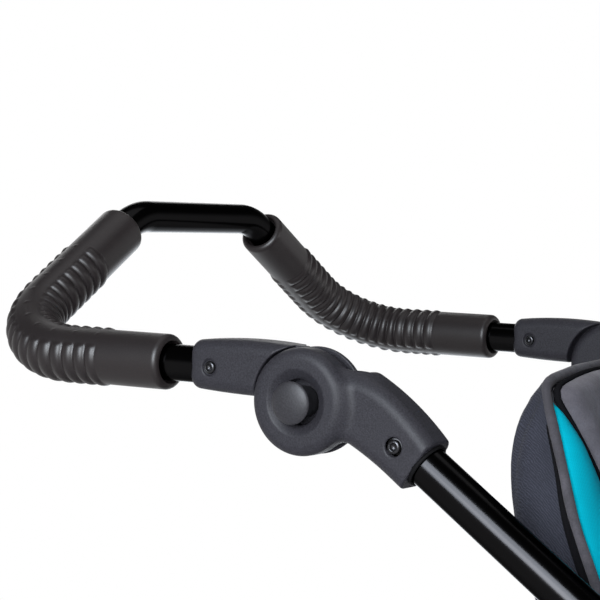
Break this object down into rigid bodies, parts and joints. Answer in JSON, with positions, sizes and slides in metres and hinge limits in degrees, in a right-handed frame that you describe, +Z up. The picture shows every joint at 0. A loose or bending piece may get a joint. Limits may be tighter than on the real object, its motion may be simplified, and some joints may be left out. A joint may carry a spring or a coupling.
{
  "type": "jogging stroller",
  "caption": "Three-wheeled jogging stroller with a tilting bent handlebar in ribbed grips, round hinge housings, folding rear legs, reclining padded seat, hood and basket.",
  "frame": {"origin": "centre of the bounding box on the ground", "axes": "+X forward, towards the single front wheel; +Y left; +Z up"},
  "size_m": [1.26, 0.68, 1.0862],
  "materials": {
    "black_tube": "gloss black paint",
    "grip_rubber": "matte moulded foam rubber",
    "housing_plastic": "fine grained dark grey nylon",
    "fork_paint": "satin dark grey paint",
    "bolt_steel": "dark zinc",
    "button_plastic": "satin",
    "bracket_paint": "satin black paint",
    "board": "plain",
    "teal_cloth": "fine woven",
    "grey_cloth": "knitted mesh",
    "plush": "short plush",
    "webbing": "woven webbing",
    "basket_cloth": "woven",
    "red_plastic": "gloss",
    "teal_plastic": "satin",
    "rim_plastic": "satin",
    "tyre_rubber": "treaded",
    "alloy": "satin"
  },
  "bodies": {
    "frame": {"frame_knuckle_left": "housing_plastic", "frame_knuckle_right": "housing_plastic", "frame_bolts": "bolt_steel", "hinge_spring_left": "bolt_steel", "hinge_spring_right": "bolt_steel", "main_tube_left": "black_tube", "main_tube_right": "black_tube", "nose_block": "housing_plastic", "seat_hangers": "bracket_paint", "seat_bars": "bracket_paint", "seat_cushion": "teal_cloth", "lap_belts": "webbing", "buckle": "button_plastic", "side_panels": "grey_cloth", "calf_panel": "grey_cloth", "footrest": "bracket_paint", "basket": "basket_cloth", "basket_straps": "webbing", "fold_brackets": "bracket_paint", "fold_bolts": "bolt_steel", "hood_hubs": "bracket_paint", "hood_panel_rear": "grey_cloth", "hood_bow_rear": "bracket_paint"},
    "handle": {"handlebar_tube": "black_tube", "grip_left": "grip_rubber", "grip_right": "grip_rubber", "handle_knuckle_left": "housing_plastic", "handle_knuckle_right": "housing_plastic", "handle_bolts": "bolt_steel"},
    "button_left": {"hinge_button_left": "button_plastic", "lock_gear_left": "bolt_steel"},
    "button_right": {"hinge_button_right": "button_plastic", "lock_gear_right": "bolt_steel"},
    "rear_frame": {"rear_legs": "black_tube", "axle_blocks": "housing_plastic", "rear_axle": "bracket_paint"},
    "fold_lever_left": {"fold_lever_left": "teal_plastic"},
    "fold_lever_right": {"fold_lever_right": "teal_plastic"},
    "brake": {"brake_bar": "bracket_paint"},
    "rear_wheel_left": {"rear_tyre_left": "tyre_rubber", "rear_rim_left": "rim_plastic"},
    "rear_wheel_right": {"rear_tyre_right": "tyre_rubber", "rear_rim_right": "rim_plastic"},
    "backrest": {"backrest_board": "board", "backrest_cushion": "grey_cloth", "headrest_pad": "plush", "shoulder_belts": "webbing", "shoulder_pads": "plush"},
    "hood_mid": {"hood_panel_mid": "teal_cloth", "hood_bow_mid": "bracket_paint"},
    "hood_front": {"hood_panel_front": "grey_cloth", "hood_bow_front": "bracket_paint"},
    "buckle_button": {"buckle_button": "red_plastic"},
    "fork": {"fork": "fork_paint", "front_axle": "bolt_steel"},
    "front_wheel": {"front_tyre": "tyre_rubber", "front_rim": "rim_plastic"},
    "quick_release": {"quick_release": "alloy"},
    "swivel_lock": {"swivel_knob": "teal_plastic"}
  },
  "joints": [
    {"name": "handle_tilt", "type": "hinge", "parent": "frame", "child": "handle", "pos_m": [-0.33495, 0, 0.93], "axis": [0, 1, 0], "range_deg": [-45, 60]},
    {"name": "hinge_button_left_press", "type": "slide", "parent": "frame", "child": "button_left", "axis": [0, -1, 0], "range_m": [0, 0.006], "stiffness_N_per_m": 900, "deforming": ["hinge_spring_left"]},
    {"name": "hinge_button_right_press", "type": "slide", "parent": "frame", "child": "button_right", "axis": [0, 1, 0], "range_m": [0, 0.006], "stiffness_N_per_m": 900, "deforming": ["hinge_spring_right"]},
    {"name": "rear_leg_fold", "type": "hinge", "parent": "frame", "child": "rear_frame", "pos_m": [-0.02803, 0, 0.67571], "axis": [0, -1, 0], "range_deg": [0, 61]},
    {"name": "fold_lever_left_pull", "type": "hinge", "parent": "frame", "child": "fold_lever_left", "pos_m": [-0.02803, 0.271, 0.67571], "axis": [0, 1, 0], "range_deg": [0, 25], "stiffness_Nm_per_rad": 1},
    {"name": "fold_lever_right_pull", "type": "hinge", "parent": "frame", "child": "fold_lever_right", "pos_m": [-0.02803, -0.271, 0.67571], "axis": [0, 1, 0], "range_deg": [0, 25], "stiffness_Nm_per_rad": 1},
    {"name": "recline", "type": "hinge", "parent": "frame", "child": "backrest", "pos_m": [-0.07995, 0, 0.505], "axis": [0, -1, 0], "range_deg": [0, 40]},
    {"name": "hood_front_slide", "type": "hinge", "parent": "frame", "child": "hood_front", "pos_m": [-0.09695, 0, 0.77623], "axis": [0, -1, 0], "range_deg": [0, 62]},
    {"name": "hood_mid_slide", "type": "hinge", "parent": "frame", "child": "hood_mid", "pos_m": [-0.09695, 0, 0.77623], "axis": [0, -1, 0], "range_deg": [0, 31]},
    {"name": "front_swivel", "type": "hinge", "parent": "frame", "child": "fork", "pos_m": [0.52, 0, 0.38], "axis": [0, 0, 1], "continuous": true},
    {"name": "swivel_lock_press", "type": "slide", "parent": "frame", "child": "swivel_lock", "axis": [0, 0, -1], "range_m": [0, 0.008]},
    {"name": "front_wheel_spin", "type": "hinge", "parent": "fork", "child": "front_wheel", "pos_m": [0.475, 0, 0.155], "axis": [0, 1, 0], "continuous": true},
    {"name": "quick_release_open", "type": "hinge", "parent": "fork", "child": "quick_release", "pos_m": [0.475, 0.057, 0.155], "axis": [0, 0, -1], "range_deg": [0, 150]},
    {"name": "rear_wheel_left_spin", "type": "hinge", "parent": "rear_frame", "child": "rear_wheel_left", "pos_m": [-0.27495, 0.308, 0.2], "axis": [0, 1, 0], "continuous": true},
    {"name": "rear_wheel_right_spin", "type": "hinge", "parent": "rear_frame", "child": "rear_wheel_right", "pos_m": [-0.27495, -0.308, 0.2], "axis": [0, 1, 0], "continuous": true},
    {"name": "brake_press", "type": "hinge", "parent": "rear_frame", "child": "brake", "pos_m": [-0.32495, 0, 0.23], "axis": [0, -1, 0], "range_deg": [0, 24]},
    {"name": "buckle_press", "type": "slide", "parent": "frame", "child": "buckle_button", "axis": [0.1293, 0, -0.9916], "range_m": [0, 0.003], "stiffness_N_per_m": 500}
  ],
  "couplings": [
    {"joint": "hood_mid_slide", "follows": "hood_front_slide", "ratio": 0.5}
  ]
}
